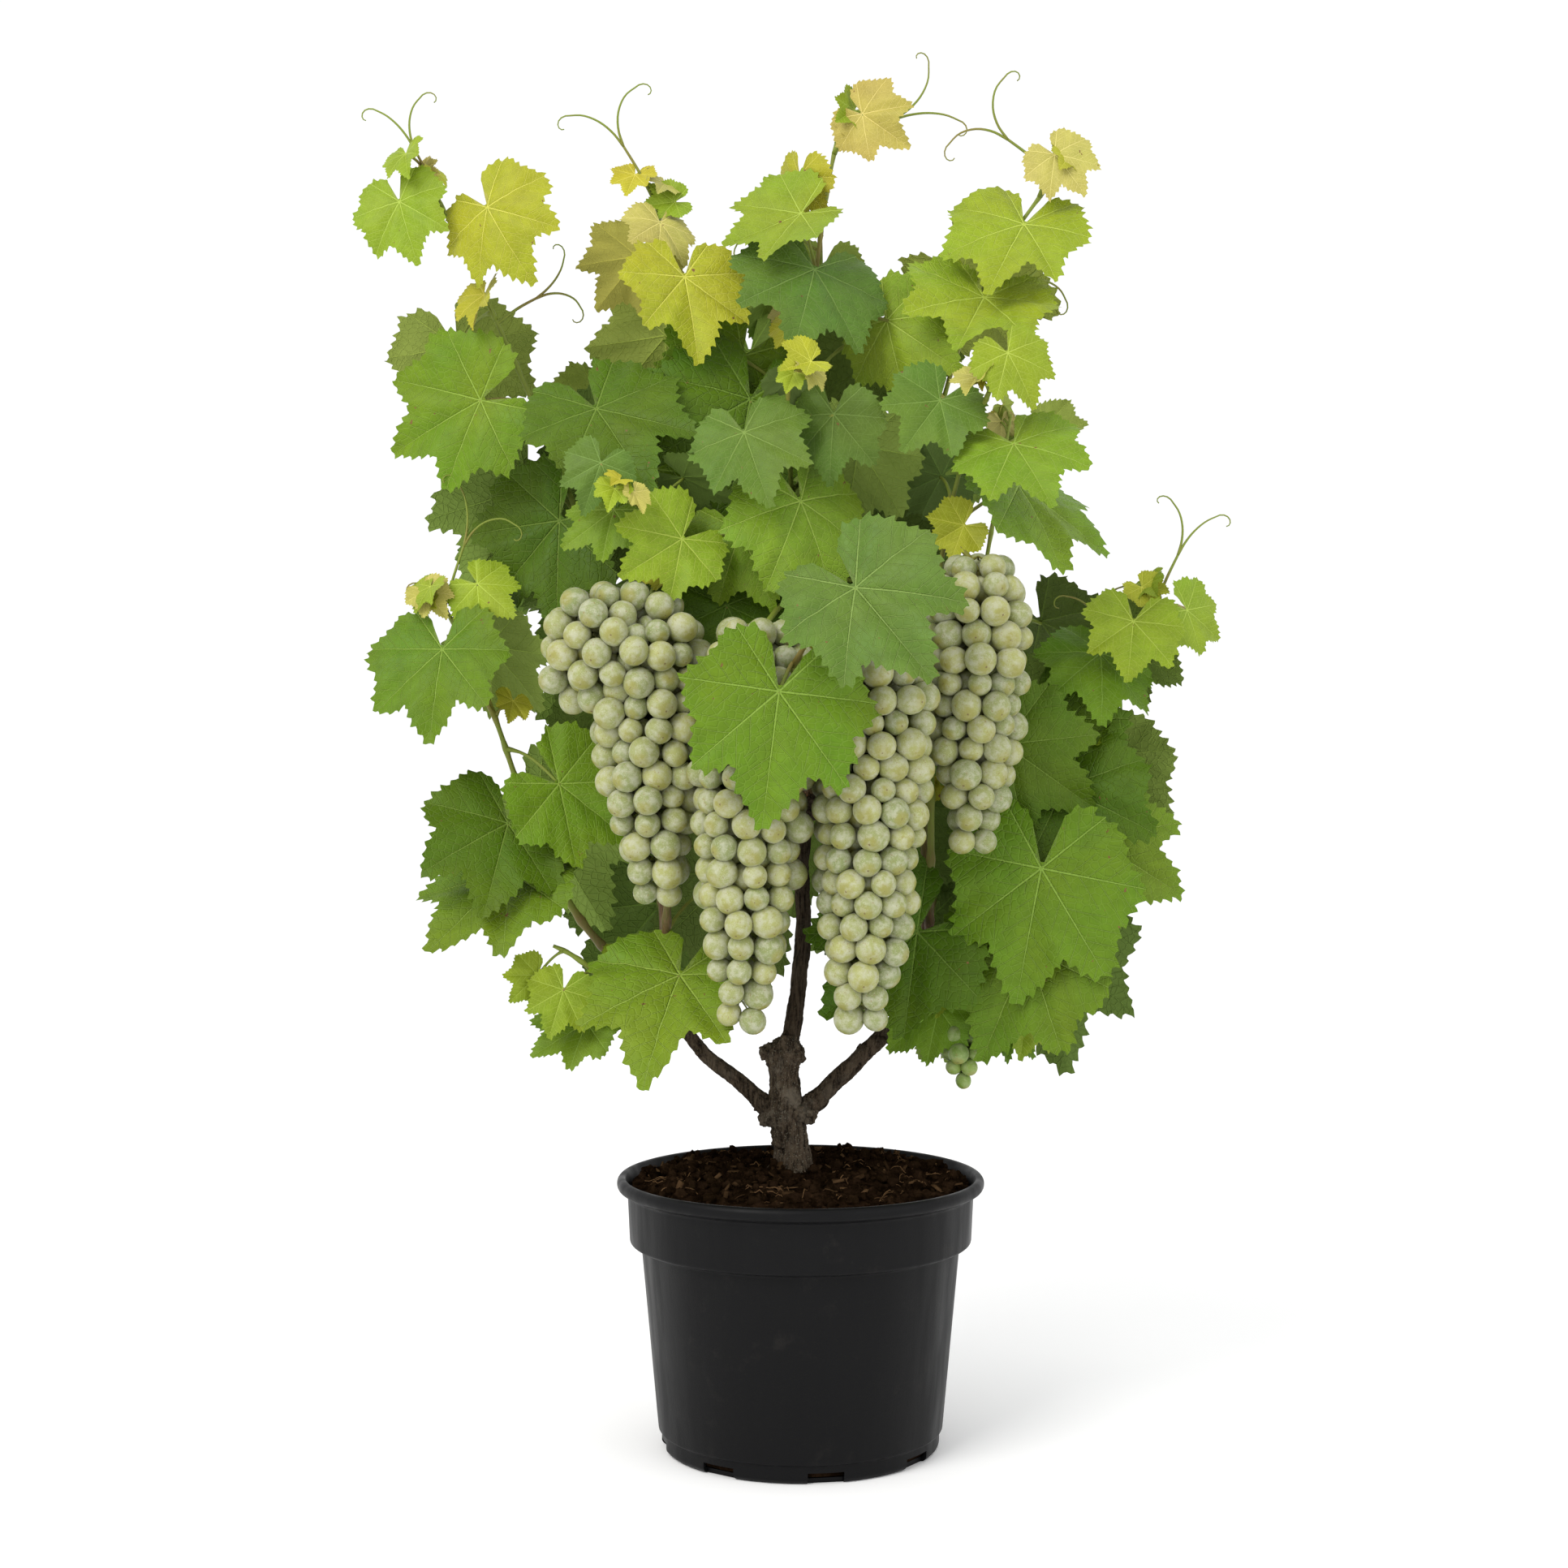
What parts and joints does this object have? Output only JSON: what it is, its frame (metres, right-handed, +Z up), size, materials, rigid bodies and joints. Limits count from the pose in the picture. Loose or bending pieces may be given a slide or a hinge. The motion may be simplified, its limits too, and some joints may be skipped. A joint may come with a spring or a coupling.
{
  "type": "potted grapevine",
  "caption": "Grapevine growing in a round black nursery pot: short woody trunk with two arms, upright leafy canes with tendrils, and hanging bunches of pale grapes.",
  "frame": {"origin": "middle of the pot's flat underside, on the surface the pot stands on", "axes": "+Z up, -Y towards the front of the plant where the bunches hang, +X to the right seen from the front"},
  "size_m": [0.6551, 0.4521, 1.0536],
  "materials": {
    "pot_plastic": "satin black moulded polypropylene",
    "soil": "moist dark brown potting compost",
    "bark": "rough grey-brown fissured bark",
    "foliage": "satin green leaves, yellow-green towards the tips, on brown to green canes",
    "grapes": "pale yellow-green skins under a whitish bloom",
    "green_grapes": "small unripe green berries"
  },
  "bodies": {
    "root": {"pot": "pot_plastic", "soil": "soil", "trunk": "bark", "arm_left": "bark", "arm_right": "bark", "leader": "bark", "cane_apron": "foliage", "cane_left_front": "foliage", "cane_front": "foliage", "cane_right_front": "foliage", "cane_left_low": "foliage", "cane_left_high": "foliage", "cane_centre": "foliage", "cane_right_high": "foliage", "cane_right_low": "foliage", "cane_small_top": "foliage", "cane_left_spur": "foliage", "cane_right_spur": "foliage", "cane_left_back": "foliage", "cane_back": "foliage", "cane_right_back": "foliage", "bunch_left": "grapes", "bunch_middle_left": "grapes", "bunch_middle_right": "grapes", "bunch_right": "grapes", "bunch_green_left": "green_grapes", "bunch_green_right": "green_grapes"}
  },
  "joints": []
}
